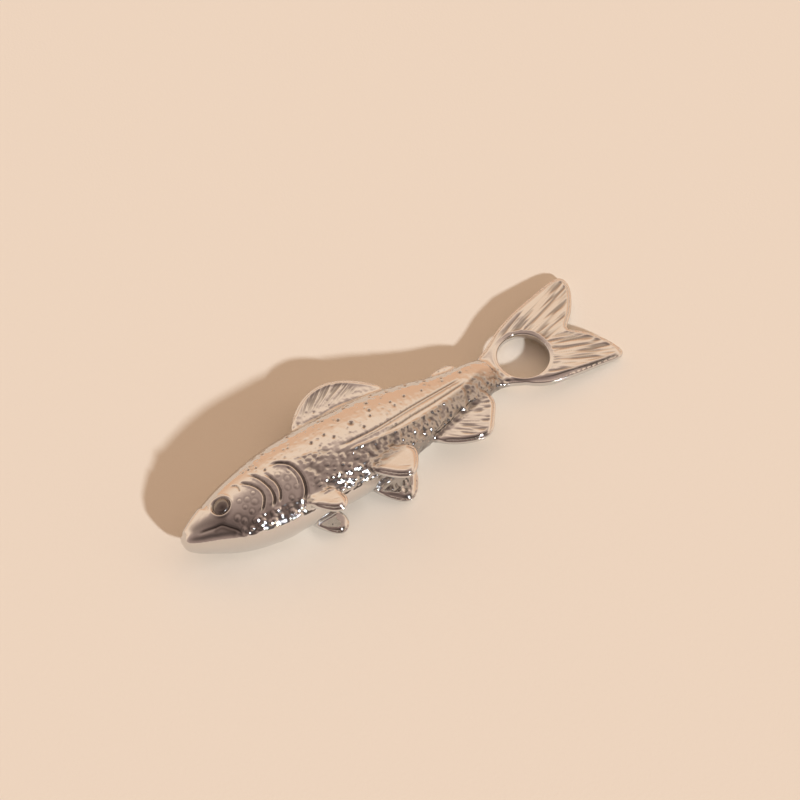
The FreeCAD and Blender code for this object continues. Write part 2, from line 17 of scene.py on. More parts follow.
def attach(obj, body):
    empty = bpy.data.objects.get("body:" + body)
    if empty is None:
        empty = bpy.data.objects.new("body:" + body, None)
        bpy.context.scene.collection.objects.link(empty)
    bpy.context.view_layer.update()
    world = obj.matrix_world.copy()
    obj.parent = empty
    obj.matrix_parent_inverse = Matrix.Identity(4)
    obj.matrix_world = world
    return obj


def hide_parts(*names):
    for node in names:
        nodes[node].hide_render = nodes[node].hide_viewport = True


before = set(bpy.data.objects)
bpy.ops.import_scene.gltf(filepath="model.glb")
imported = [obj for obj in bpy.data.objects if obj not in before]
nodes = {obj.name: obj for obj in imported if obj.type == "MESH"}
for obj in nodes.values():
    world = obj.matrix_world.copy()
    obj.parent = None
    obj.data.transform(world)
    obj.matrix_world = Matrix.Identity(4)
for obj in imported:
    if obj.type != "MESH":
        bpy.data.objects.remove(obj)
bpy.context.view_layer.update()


MM = 0.001
# The nose's place along X, and a limit that leaves everything in.
NOSE_X = -60.6
ANY = math.inf

# ---------------------------------------------------------------- the fish's own shape

# Body stations from nose to stalk: place, back, belly, half thickness, height of the middle.
# The relief uses them to tell the oval body from the fins.
STATIONS = np.array([
    (0.0, 0.2, -2.4, 1.2, 6.3),
    (2.6, 1.8, -4.9, 3.2, 6.3),
    (5.8, 3.6, -6.9, 4.6, 6.4),
    (10.8, 5.9, -9.5, 6.3, 6.4),
    (20.7, 8.6, -12.4, 7.6, 6.6),
    (28.6, 9.8, -13.1, 8.0, 6.8),
    (36.5, 10.3, -13.1, 8.0, 6.8),
    (43.8, 10.3, -13.0, 8.0, 6.8),
    (53.3, 10.0, -11.7, 7.3, 6.6),
    (64.2, 8.6, -9.2, 5.9, 5.9),
    (72.1, 6.8, -7.6, 4.6, 5.4),
    (80.0, 5.8, -6.0, 3.6, 4.6),
    (90.0, 4.4, -4.4, 1.0, 3.4),
])
HOLE_CENTRE = (97.7, 0.0)
HOLE_RADIUS = 6.5

# ---------------------------------------------------------------- relief on each flank

# Grooves: points along the groove, width, depth, how dark its bottom is (painted dark reflection
# for the lip band and the snout's side), and how high the lip in front of it is.
GROOVES = {
    "mouth": ([(3.2, -2.5), (5.4, -3.3), (7.5, -4.1), (9.1, -4.6), (10.4, -6.0), (11.7, -7.4),
               (12.4, -8.6)], 0.30, 0.12, 1.0, 0.0),
    # A wide, shallow band under the mouth, darkened as painted dark reflection.
    "lip": ([(6.4, -4.6), (8.6, -5.0), (10.0, -6.2), (11.4, -7.8)], 0.60, 0.06, 0.6, 0.0),
    # No groove here: a band of painted dark reflection along the snout's side.
    "snout_side_painted_reflection": ([(2.0, -1.2), (5.0, -1.6), (8.5, -2.8), (11.0, -4.8)], 1.5, 0.0, 0.50, 0.0),
    "brow": ([(15.6, 2.8), (16.6, 2.0), (16.9, 1.1), (16.6, -0.3)], 0.20, 0.20, 0.7, 0.0),
    "cheek": ([(17.6, 1.9), (18.4, 1.4), (19.5, 0.0), (20.4, -1.6), (20.8, -3.2), (20.6, -4.7),
               (19.8, -5.9), (19.0, -6.7), (17.7, -7.4)], 0.30, 0.42, 1.0, 0.14),
    "first_gill": ([(20.4, 3.1), (21.9, 0.6), (22.8, -2.7), (22.9, -4.8), (22.3, -6.6),
                    (20.9, -7.8)], 0.33, 0.46, 1.0, 0.18),
    "second_gill": ([(23.6, 0.8), (24.7, -2.7), (24.7, -4.8), (24.1, -6.3), (22.9, -7.7)],
                    0.31, 0.42, 1.0, 0.16),
    "gill_cover": ([(25.4, 2.0), (27.4, 1.4), (29.1, 0.1), (30.1, -1.3), (30.6, -3.2),
                    (30.7, -5.3), (30.1, -7.6), (29.2, -9.0), (27.4, -10.4)],
                   0.34, 0.52, 1.0, 0.24),
    "inner_cover": ([(28.6, -0.9), (29.3, -2.6), (29.4, -4.8), (28.9, -6.6)],
                    0.18, 0.14, 0.5, 0.0),
    "lateral_upper": ([(41.6, -2.8), (45.0, -3.0), (50.6, -3.0), (56.3, -2.4), (62.7, -1.4),
                       (68.9, -0.5), (75.9, 0.5), (78.9, 0.9)], 0.22, 0.30, 0.9, 0.0),
    "lateral_second": ([(44.0, -3.8), (50.6, -3.8), (56.3, -3.1), (62.7, -2.1), (68.9, -1.2),
                        (75.9, -0.2), (79.5, 0.3)], 0.16, 0.14, 0.6, 0.0),
    "lateral_lower": ([(52.4, -4.7), (57.8, -4.3), (62.7, -3.5), (68.9, -2.6), (75.9, -1.3),
                       (80.6, -0.4)], 0.24, 0.28, 0.85, 0.0),
    "dorsal_base": ([(38.0, 10.7), (42.2, 10.8), (44.9, 10.6), (48.1, 10.9), (50.7, 10.8),
                     (54.2, 10.2), (58.5, 9.6)], 0.20, 0.10, 0.5, 0.0),
    "anal_base": ([(64.3, -9.0), (67.2, -8.4), (70.4, -7.7), (74.3, -6.6), (77.9, -5.7),
                   (81.1, -5.3)], 0.22, 0.16, 0.5, 0.0),
}

# Raised lines: points, width, height.
RIDGES = {
    "jaw": ([(0.2, -1.0), (1.6, -2.3), (3.5, -3.8), (5.5, -4.9), (7.8, -6.2), (11.7, -8.4),
             (14.9, -9.6), (18.6, -10.4), (23.3, -11.2), (27.4, -11.5)], 1.30, 0.42),
    "snout": ([(0.8, 0.6), (3.0, 1.4), (5.4, 2.2), (8.0, 2.8)], 1.40, 0.45),
    "lateral_upper": ([(40.0, -3.9), (45.0, -4.0), (52.0, -3.9), (59.4, -3.6), (65.9, -2.4),
                       (72.4, -1.4), (79.0, 0.0)], 0.42, 0.16),
    "lateral_lower": ([(42.5, -4.9), (46.4, -5.2), (50.4, -5.5), (57.0, -5.6), (63.0, -5.0),
                       (66.9, -4.3), (70.1, -3.8), (75.1, -2.9)], 0.36, 0.26),
}

# Round marks: place, radius, height above the skin (negative is a pit).
MARKS = [
    ((12.9, -5.4), 0.75, 0.26), ((13.9, -6.7), 0.70, 0.24), ((12.9, -8.2), 0.70, 0.22),
    ((15.6, -4.3), 0.55, 0.18), ((16.9, -3.0), 0.70, 0.20), ((18.1, -4.4), 0.75, 0.22),
    ((16.4, -6.0), 0.60, 0.20), ((18.9, -2.4), 0.50, 0.16), ((15.2, -2.3), 0.55, 0.16),
    ((26.0, -1.6), 0.60, 0.16), ((27.4, -3.6), 0.70, 0.18), ((26.3, -5.6), 0.65, 0.16),
    ((28.2, -6.4), 0.55, 0.16), ((25.9, -8.0), 0.60, 0.18), ((28.6, -2.2), 0.45, 0.14),
    ((26.5, 6.6), 0.45, -0.26), ((24.3, 1.3), 0.45, -0.24), ((23.0, 3.3), 0.40, -0.20),
    ((21.4, 4.2), 0.42, -0.24), ((22.2, 5.0), 0.30, -0.20), ((20.0, 4.4), 0.34, -0.20),
    ((33.9, 7.5), 0.50, -0.24), ((37.1, 1.5), 0.55, -0.26), ((40.8, 1.8), 0.50, -0.24),
    ((42.4, -0.1), 0.52, -0.26), ((46.0, 3.9), 0.62, -0.26), ((48.0, 1.2), 0.85, -0.30),
    ((50.0, -1.4), 0.50, -0.26), ((53.0, 0.7), 0.45, -0.24), ((53.8, 2.4), 0.62, -0.28),
    ((54.6, 5.0), 0.60, -0.28), ((59.6, 2.1), 0.45, -0.24), ((63.6, 2.2), 0.50, -0.24),
    ((71.1, 4.7), 0.50, -0.26), ((80.4, 2.8), 0.60, -0.28), ((66.2, 5.6), 0.45, -0.24),
    ((57.4, 7.4), 0.50, -0.26), ((49.4, 7.0), 0.55, -0.28), ((43.0, 6.3), 0.45, -0.24),
    ((61.0, 6.0), 0.42, -0.24), ((68.4, 1.8), 0.42, -0.24), ((75.2, 3.4), 0.42, -0.24),
]

# Relief on the fins and the tail, as strokes that fan out from a point: the box they lie in
# (from X, to X, from Y, to Y), that point, pitch, length, seed, the distances from the point
# at which they start and stop, the noise level above which a stroke shows, and their depth.
FIN_STROKES = {
    "dorsal": ((36.0, 63.0, 8.0, ANY), (33.4, 5.1), 0.30, 6.0, 3, 5.0, 25.0, -0.25, 0.14),
    "adipose": ((71.0, 83.0, 4.0, ANY), (66.0, 0.0), 0.60, 5.0, 5, 6.0, 18.0, 0.20, 0.08),
    "anal": ((62.0, 86.0, -17.0, -4.5), (50.0, 7.0), 0.38, 4.5, 7, 17.0, 38.0, 0.00, 0.12),
    "pectoral": ((26.0, 39.0, -ANY, -9.0), (22.0, -8.0), 0.45, 5.0, 9, 5.0, 16.0, 0.30, 0.06),
    "pelvic": ((43.0, 60.0, -ANY, -9.0), (38.0, -6.0), 0.45, 5.0, 13, 8.0, 20.0, 0.30, 0.06),
    "upper_lobe_bundles": ((88.0, ANY, 0.9, ANY), (51.3, -10.5), 0.66, 9.0, 27,
                           42.0, 80.0, -0.05, 0.15),
    "upper_lobe_strokes": ((92.0, ANY, 0.9, ANY), (54.3, -9.5), 0.36, 5.0, 18,
                           42.0, 78.0, 0.20, 0.07),
    "lower_lobe_bundles": ((88.0, ANY, -ANY, 0.9), (52.0, 13.5), 0.64, 9.0, 29,
                           42.0, 80.0, -0.05, 0.15),
    "lower_lobe_strokes": ((92.0, ANY, -ANY, 0.9), (55.0, 12.5), 0.34, 5.0, 20,
                           42.0, 78.0, 0.20, 0.07),
}

# Lines along the fish. The coarse texture of the flank lies between the first two.
TEXTURE_TOP = np.array([
    (31.0, 0.8), (33.1, 0.0), (38.1, -0.9), (41.8, -3.9), (46.8, -4.6), (52.1, -5.2),
    (57.6, -5.2), (63.6, -4.4), (69.8, -3.4), (76.8, -1.8), (82.2, 0.2), (86.0, 1.6), (90.0, 1.0),
])
TEXTURE_FOOT = np.array([
    (16.0, -9.7), (20.7, -11.0), (25.7, -11.7), (29.3, -10.9), (34.9, -11.4), (38.1, -11.9),
    (42.2, -12.1), (47.0, -12.8), (60.0, -10.6), (90.0, -5.0),
])
# The small scales under the cheek lie between these two.
CHEEK_TOP = np.array([(12.0, -8.0), (16.0, -7.6), (20.0, -8.2), (25.0, -8.9), (30.0, -9.4)])
CHEEK_FOOT = np.array([(12.0, -9.0), (16.0, -9.9), (20.7, -11.0), (25.7, -11.7), (30.0, -11.4)])
# The scattered spots lie above this one.
SPOTS_FOOT = np.array([(20.0, 1.5), (41.0, -2.0), (59.0, -2.0), (79.0, 1.4), (90.0, 1.4)])

EYE_PLACE = (11.2, -0.45)
# How much smaller than the radii above the round marks are made.
MARK_SHRINK = 0.66
# How far from its curve the relief of a groove or a raised line is worked out.
CURVE_REACH = 3.0
# Weights below this are taken as none.
FAINT = 0.01

# ---------------------------------------------------------------- the grid for the casting

# Side of a cell, then the cells kept on each side of the surface and round the whole grid.
VOXEL = 0.2
BAND = 9
GRID_MARGIN = 12
# Width of the blur that rounds the casting's edges.
ROUNDING = 0.34
# Half the step over which a slope is measured.
SLOPE_STEP = 0.6 * VOXEL

# ---------------------------------------------------------------- small tools

# Multipliers of the usual sine hash.
HASH_TURNS = np.array([12.9898, 78.233, 37.719])
HASH_SEED_TURN = 7.31
HASH_SCALE = 43758.5453


def smooth_step(low, high, value):
    share = np.clip((value - low) / (high - low), 0.0, 1.0)
    return share * share * (3.0 - 2.0 * share)


def plateau(value, rise, fall):
    """Rises smoothly from 0 to 1 over one pair of limits and falls back over the other."""
    return smooth_step(*rise, value) * (1 - smooth_step(*fall, value))


def bell(value, width):
    return np.exp(-(value / width) ** 2)


def distance_to(places, centre):
    return np.hypot(*(places - np.array(centre)).T)


def line_at(line, along):
    """How far up the fish a line lies at each place along it."""
    return np.interp(along, line[:, 0], line[:, 1])


def scatter(cells, seed):
    """A fixed number from 0 to 1 for each row of whole numbers."""
    turns = cells @ HASH_TURNS + seed * HASH_SEED_TURN
    return np.abs(np.sin(turns) * HASH_SCALE) % 1.0


def scatter_places(cells, seed):
    """A fixed place from 0 to 1 in all three directions for each row of whole numbers."""
    return np.stack([scatter(cells, seed + turn) for turn in (1, 2, 3)], 1)


def curve_through(points):
    """A smooth run of points through the given ones (Catmull-Rom)."""
    steps = 6
    points = np.array(points, dtype=float)
    ends = np.vstack([2 * points[0] - points[1], points, 2 * points[-1] - points[-2]])
    run = []
    for first in range(len(points) - 1):
        a, b, c, d = ends[first:first + 4]
        for share in np.arange(steps) / steps:
            run.append(0.5 * (2 * b + (c - a) * share + (2 * a - 5 * b + 4 * c - d) * share ** 2
                              + (3 * b - a - 3 * c + d) * share ** 3))
    run.append(points[-1])
    return np.array(run)


def along_curve(places, run):
    """Distance from each place to a run of points, the side of it, and the share along it."""
    distance = np.full(len(places), ANY)
    side = np.ones(len(places))
    share = np.zeros(len(places))
    for order, (start, end) in enumerate(zip(run[:-1], run[1:])):
        span = end - start
        offset = places - start
        part = np.clip(offset @ span / (span @ span), 0.0, 1.0)
        gap = offset - part[:, None] * span
        length = np.hypot(gap[:, 0], gap[:, 1])
        near = length < distance
        distance[near] = length[near]
        share[near] = (order + part[near]) / (len(run) - 1)
        turn = span[0] * offset[:, 1] - span[1] * offset[:, 0]
        side[near] = np.sign(turn[near])
    return distance, side, share


def near_curve(places, run):
    low = run.min(0) - CURVE_REACH
    high = run.max(0) + CURVE_REACH
    return np.where(((places > low) & (places < high)).all(1))[0]


# ---------------------------------------------------------------- the casting as a field


def node_triangles(node):
    mesh = node.data
    mesh.calc_loop_triangles()
    points = np.empty(len(mesh.vertices) * 3)
    mesh.vertices.foreach_get("co", points)
    triangles = np.empty(len(mesh.loop_triangles) * 3, dtype=np.int32)
    mesh.loop_triangles.foreach_get("vertices", triangles)
    return points.reshape(-1, 3) / MM, triangles.reshape(-1, 3)


def distance_field(points, triangles):
    """Distance to the surface in every cell, negative inside, and the first cell's number."""
    transform = openvdb.createLinearTransform(voxelSize=VOXEL)
    grid = openvdb.FloatGrid.createLevelSetFromPolygons(
        points, triangles=triangles, transform=transform, halfWidth=BAND)
    low = np.floor(points.min(0) / VOXEL).astype(int) - GRID_MARGIN
    high = np.ceil(points.max(0) / VOXEL).astype(int) + GRID_MARGIN
    field = np.empty(tuple(high - low), dtype=np.float32)
    grid.copyToArray(field, ijk=tuple(int(value) for value in low))
    return field, low


def blur(field, width):
    """Gaussian blur along all three directions, cut off at three widths."""
    reach = int(math.ceil(3 * width))
    weights = np.exp(-0.5 * (np.arange(-reach, reach + 1) / width) ** 2)
    weights /= weights.sum()
    for axis in range(3):
        count = field.shape[axis]
        padded = np.concatenate([np.repeat(field.take([0], axis), reach, axis), field,
                                 np.repeat(field.take([-1], axis), reach, axis)], axis)
        field = sum(weight * padded.take(range(step, step + count), axis)
                    for step, weight in enumerate(weights)).astype(np.float32)
    return field


def sample(field, low, points):
    """The field's value at points, between the middles of its cells."""
    place = points / VOXEL - low
    whole = np.clip(np.floor(place).astype(int), 0, np.array(field.shape) - 2)
    part = place - whole
    total = np.zeros(len(points))
    for corner in itertools.product((0, 1), repeat=3):
        weight = np.ones(len(points))
        for axis, step in enumerate(corner):
            weight = weight * (part[:, axis] if step else 1 - part[:, axis])
        total += weight * field[whole[:, 0] + corner[0], whole[:, 1] + corner[1],
                                whole[:, 2] + corner[2]]
    return total


def slope(field, low, points):
    found = np.empty((len(points), 3))
    for axis in range(3):
        step = np.zeros(3)
        step[axis] = SLOPE_STEP
        found[:, axis] = sample(field, low, points + step) - sample(field, low, points - step)
    return found / (2 * SLOPE_STEP)


def field_surface(field, low):
    """Quads on the field's zero surface, with the points moved onto it in a few passes."""
    passes = 3
    least_slope = 1e-6
    grid = openvdb.FloatGrid(VOXEL * BAND)
    grid.copyFromArray(field, ijk=tuple(int(value) for value in low))
    grid.transform = openvdb.createLinearTransform(voxelSize=VOXEL)
    points, quads = grid.convertToQuads(isovalue=0.0)
    points = np.array(points, dtype=float)
    for _ in range(passes):
        rise = slope(field, low, points)
        steep = (rise ** 2).sum(1) + least_slope
        points -= (sample(field, low, points) / steep)[:, None] * rise
    return points, np.array(quads)


def plan_edge_distance(field, low):
    """How far each column of the grid is inside the outline seen from above.

    It is found in whole cells, up to `far` of them, and smoothed. Near the outline, where
    cells are too coarse, the column's own deepest distance from the surface takes over.
    """
    far = 16
    smoothing_passes = 10
    handover = (0.45, 0.85)
    inside = (field < 0).any(axis=2)
    gap_y = np.where(inside, far, 0).astype(float)
    for _ in range(far):
        gap_y[:, 1:] = np.minimum(gap_y[:, 1:], gap_y[:, :-1] + 1)
        gap_y[:, :-1] = np.minimum(gap_y[:, :-1], gap_y[:, 1:] + 1)
    best = gap_y ** 2
    for step in range(1, far):
        best[step:] = np.minimum(best[step:], gap_y[:-step] ** 2 + step ** 2)
        best[:-step] = np.minimum(best[:-step], gap_y[step:] ** 2 + step ** 2)
    gap = np.sqrt(best) * VOXEL
    for _ in range(smoothing_passes):
        gap[1:-1] = (gap[:-2] + 2 * gap[1:-1] + gap[2:]) / 4
        gap[:, 1:-1] = (gap[:, :-2] + 2 * gap[:, 1:-1] + gap[:, 2:]) / 4
    close = np.clip(-field.min(axis=2), 0, None)
    inward = smooth_step(*handover, close)
    return close * (1 - inward) + np.maximum(gap, close) * inward


def edge_distance_at(edge, low, points):
    """The plan's edge distance at points, between the middles of its columns."""
    just_short_of_last = 1.001
    place = np.clip(points[:, :2] / VOXEL - low[:2], 0, np.array(edge.shape) - just_short_of_last)
    whole = place.astype(int)
    part = place - whole
    total = np.zeros(len(points))
    for right, up in itertools.product((0, 1), repeat=2):
        weight = ((part[:, 0] if right else 1 - part[:, 0])
                  * (part[:, 1] if up else 1 - part[:, 1]))
        total += weight * edge[whole[:, 0] + right, whole[:, 1] + up]
    return total


# ---------------------------------------------------------------- relief


def cell_bumps(points, pitch, seed, low_share, high_share):
    """Rounded bumps of mixed size, about one to each cell of a grid of that pitch.

    Seeds +1 to +3 place each bump, +4 sets its radius and +5 its height.
    """
    lowest = 0.4
    base = np.floor(points / pitch)
    best = np.zeros(len(points))
    for offset in itertools.product((-1, 0, 1), repeat=3):
        cell = base + np.array(offset)
        centre = cell + scatter_places(cell, seed)
        distance = np.linalg.norm(points / pitch - centre, axis=1)
        radius = low_share + (high_share - low_share) * scatter(cell, seed + 4)
        bump = np.clip(1 - (distance / radius) ** 2, 0, 1)
        best = np.maximum(best, bump * (lowest + (1 - lowest) * scatter(cell, seed + 5)))
    return best


def smooth_noise(points, pitch, seed):
    """Gradient noise, about -1 to 1, that changes over one pitch."""
    full_range = 1.6
    cells = points / pitch
    base = np.floor(cells)
    part = cells - base
    fade = part ** 3 * (part * (part * 6 - 15) + 10)
    total = np.zeros(len(points))
    for corner in itertools.product((0, 1), repeat=3):
        step = np.array(corner)
        cell = base + step
        lean = scatter_places(cell, seed) * 2 - 1
        weight = np.prod(np.where(step == 1, fade, 1 - fade), axis=1)
        total += weight * (lean * (part - step)).sum(1)
    return total * full_range


def fin_streaks(places, origin, pitch, length, seed, start, stop, level):
    """Uneven strokes and bundles of strokes that fan out from an origin."""
    softness = 0.45
    taper = 2.0
    offset = places - np.array(origin)
    reach = np.hypot(offset[:, 0], offset[:, 1])
    across = np.arctan2(offset[:, 1], offset[:, 0]) * (start + stop) / 2 / pitch
    cells = np.stack([across, reach / length, np.full(len(places), seed + 0.5)], 1)
    streak = smooth_step(level, level + softness, smooth_noise(cells, 1.0, seed))
    return streak * plateau(reach, (start, start + taper), (stop - taper, stop))


class Relief:
    """Height to add along the skin, and how dark the skin is, for every point."""

    def __init__(self, count):
        self.height = np.zeros(count)
        self.dark = np.zeros(count)

    def add(self, chosen, height, dark=0.0):
        self.height[chosen] += height
        self.dark[chosen] = np.maximum(self.dark[chosen], dark)


def body_share(points):
    """1 on the fish's oval body and 0 on its fins and tail."""
    outside = (1.12, 1.45)
    behind = (88.5, 91.0)
    along = points[:, 0]
    back, belly, half, middle = (np.interp(along, STATIONS[:, 0], STATIONS[:, column])
                                 for column in range(1, 5))
    across = (points[:, 1] - (back + belly) / 2) / ((back - belly) / 2)
    up = (points[:, 2] - middle) / half
    oval = 1 - smooth_step(*outside, np.sqrt(across ** 2 + up ** 2))
    return oval * (1 - smooth_step(*behind, along))


def add_grooves(relief, places, weight):
    """Cut and darken each groove, and raise the lip in front of it. The lip band's and the snout
    side's darkness is painted dark reflection.
    """
    lip_offset = 1.7
    lip_width = 1.1
    dark_width = 0.9
    for points, width, depth, dark, lip in GROOVES.values():
        run = curve_through(points)
        near = near_curve(places, run)
        distance, side, share = along_curve(places[near], run)
        strength = plateau(share, (0.0, 0.16), (0.86, 1.0)) * weight[near]
        cut = bell(distance, width) * depth
        raised = bell(side * distance + width * lip_offset, width * lip_width) * lip
        relief.add(near, (raised - cut) * strength,
                   bell(distance, width * dark_width) * dark * strength)


def add_ridges(relief, places, weight):
    for points, width, height in RIDGES.values():
        run = curve_through(points)
        near = near_curve(places, run)
        distance, _, share = along_curve(places[near], run)
        ends = plateau(share, (0.0, 0.12), (0.88, 1.0))
        relief.add(near, bell(distance, width) * height * ends * weight[near])


def add_marks(relief, places, weight):
    """Pits with a dark bottom and a thin rim, and low bumps in a thin dark ring."""
    reach = 3
    ring_radius = 1.7
    ring_width = 0.5
    pit_rim = 0.05
    bump_share = 0.35
    bump_moat = 0.03
    moat_dark = 0.25
    for place, radius, height in MARKS:
        distance = distance_to(places, place)
        near = np.where(distance < reach * radius)[0]
        small = radius * MARK_SHRINK
        shape = bell(distance[near], small) * weight[near]
        ring = bell(distance[near] - ring_radius * small, ring_width * small) * weight[near]
        if height < 0:
            relief.add(near, shape * height + ring * pit_rim, shape)
        else:
            relief.add(near, shape * height * bump_share - ring * bump_moat, ring * moat_dark)


def add_spots(relief, points, weight):
    """Small scattered pits over the back and the upper flank.

    Seeds +1 to +3 place each pit, +4 sets its radius, +5 whether it shows and +6 its strength.
    """
    pitch = 1.55
    seed = 10
    least_radius = 0.16
    more_radius = 0.22
    shown_share = 0.85
    least_strength = 0.3
    depth = 0.24
    dark = 0.85
    along = points[:, 0]
    foot = line_at(SPOTS_FOOT, along)
    zone = (plateau(along, (17.0, 22.0), (88.0, 91.0))
            * smooth_step(foot + 0.2, foot + 1.2, points[:, 1]) * weight)
    near = np.where(zone > FAINT)[0]
    cells = points[near] / pitch
    base = np.floor(cells)
    best = np.zeros(len(near))
    for offset in itertools.product((-1, 0, 1), repeat=3):
        cell = base + np.array(offset)
        centre = cell + scatter_places(cell, seed)
        distance = np.linalg.norm(cells - centre, axis=1) * pitch
        radius = least_radius + more_radius * scatter(cell, seed + 4)
        strength = least_strength + (1 - least_strength) * scatter(cell, seed + 6)
        shown = (scatter(cell, seed + 5) < shown_share) * strength
        best = np.maximum(best, bell(distance, radius) * shown)
    relief.add(near, -depth * best * zone[near], dark * best * zone[near])


def add_texture(relief, points, weight):
    """The coarse, lumpy skin of the lower flank, drawn out a little along the fish. The whole
    zone is darkened, more towards the tail, and more again in the low ground between the lumps.
    """
    stretch = np.array([0.70, 1.0, 1.0])
    lump_height = 0.24
    swell_height = 0.18
    fine_height = 0.07
    low_ground = (-0.12, 0.05)
    low_ground_dark = 0.30
    zone_darkening_front = 0.22
    zone_darkening_more = 0.28
    along = points[:, 0]
    top = line_at(TEXTURE_TOP, along)
    foot = line_at(TEXTURE_FOOT, along)
    zone = (plateau(along, (31.0, 33.0), (89.5, 91.5)) * weight
            * plateau(points[:, 1], (foot - 0.5, foot + 0.4), (top - 0.9, top + 0.2)))
    near = np.where(zone > FAINT)[0]
    chosen = points[near] * stretch
    bumps = cell_bumps(chosen, pitch=1.10, seed=21, low_share=0.30, high_share=0.75)
    lumps = (lump_height * bumps
             + swell_height * smooth_noise(chosen, pitch=1.50, seed=51)
             + fine_height * smooth_noise(chosen, pitch=0.70, seed=61))
    zone_darkening = zone_darkening_front + zone_darkening_more * smooth_step(40.0, 52.0, along[near])
    hollows = low_ground_dark * (1 - smooth_step(*low_ground, lumps))
    relief.add(near, lumps * zone[near], (zone_darkening + hollows) * zone[near])


def add_cheek_scales(relief, points, weight):
    height = 0.38
    sunk = 0.06
    dark = 0.5
    gaps = (0.05, 0.4)
    along = points[:, 0]
    top = line_at(CHEEK_TOP, along)
    foot = line_at(CHEEK_FOOT, along)
    zone = (plateau(along, (12.5, 14.5), (29.5, 31.0)) * weight
            * plateau(points[:, 1], (foot - 0.3, foot + 0.3), (top - 0.2, top + 0.6)))
    near = np.where(zone > FAINT)[0]
    scales = cell_bumps(points[near], pitch=1.50, seed=41, low_share=0.45, high_share=0.72)
    relief.add(near, (height * scales - sunk) * zone[near],
               dark * (1 - smooth_step(*gaps, scales)) * zone[near])


def add_unevenness(relief, points, weight):
    """The slight waviness that hand polishing leaves, stronger behind the head."""
    everywhere = 0.008
    behind_head = 0.045
    amount = (everywhere + behind_head * smooth_step(15.0, 24.0, points[:, 0])
              * smooth_step(-9.0, -3.0, points[:, 1])) * weight
    relief.height += amount * smooth_noise(points, pitch=1.35, seed=71)
    relief.height += 0.5 * amount * smooth_noise(points, pitch=0.7, seed=81)


def add_eye(relief, places, weight):
    """A ball darkened with painted dark reflection, in a dark socket, with a raised rim round it.
    """
    reach = 6
    socket_radius = 2.05
    socket_width = 0.26
    socket_depth = 0.40
    rim_radius = 2.65
    rim_width = 0.34
    rim_height = 0.14
    ball_edge = (1.75, 2.15)
    ball_painted_reflection = 0.80
    distance = distance_to(places, EYE_PLACE)
    near = np.where(distance < reach)[0]
    gap = distance[near]
    socket = bell(gap - socket_radius, socket_width)
    rim = bell(gap - rim_radius, rim_width)
    # The ball's darkness is painted dark reflection; the socket's is a dark hollow.
    ball = 1 - smooth_step(*ball_edge, gap)
    relief.add(near, (rim_height * rim - socket_depth * socket) * weight[near],
               np.maximum(socket, ball_painted_reflection * ball) * weight[near])


def add_fin_strokes(relief, places, flat, inner):
    dark_per_depth = 4.6
    most_dark = 0.66
    along, across = places.T
    for box, origin, pitch, length, seed, start, stop, level, depth in FIN_STROKES.values():
        first, last, bottom, top = box
        inside = (along > first) & (along < last) & (across >= bottom) & (across < top)
        near = np.where(inside & (flat > FAINT))[0]
        streaks = fin_streaks(places[near], origin, pitch, length, seed, start, stop, level)
        streaks *= inner[near] * flat[near]
        relief.add(near, -depth * streaks, min(dark_per_depth * depth, most_dark) * streaks)


def add_fin_rims(relief, normals, off_body, flat, edge):
    """A low polished rim just inside the fins' outline, and the outline's worn corner."""
    rim_height = 0.08
    rim_inset = 1.2
    rim_width = 0.45
    corner_drop = 0.50
    corner_width = 1.1
    relief.height += rim_height * bell(edge - rim_inset, rim_width) * flat
    upward = smooth_step(0.1, 0.5, normals[:, 2])
    relief.height -= corner_drop * (1 - smooth_step(0.0, corner_width, edge)) * off_body * upward


def add_right_fin_pebbles(relief, points, flat, inner):
    """Pebbled skin on the tips of the right pectoral and pelvic fins, which lie low."""
    top_of_fins = 5.0
    height = 0.22
    dark = 0.35
    gaps = (0.05, 0.4)
    along, across, up = points.T
    inside = (along > 24) & (along < 62) & (across < -10) & (up < top_of_fins)
    near = np.where(inside & (flat > FAINT))[0]
    pebbles = cell_bumps(points[near], pitch=1.25, seed=91, low_share=0.35, high_share=0.75)
    strength = inner[near] * flat[near]
    relief.add(near, height * pebbles * strength,
               dark * (1 - smooth_step(*gaps, pebbles)) * strength)


def tail_swelling(from_nose, normals, off_hole):
    """Where the tail's lower rim is fuller under the hole than in the CAD model."""
    middle = 99.5
    half_length = 9.0
    rim_top = -4.0
    outward = smooth_step(0.1, 0.8, -normals[:, 1])
    along = bell(from_nose[:, 0] - middle, half_length) * smooth_step(85.0, 90.0, from_nose[:, 0])
    return along * outward * (from_nose[:, 1] < rim_top) * off_hole


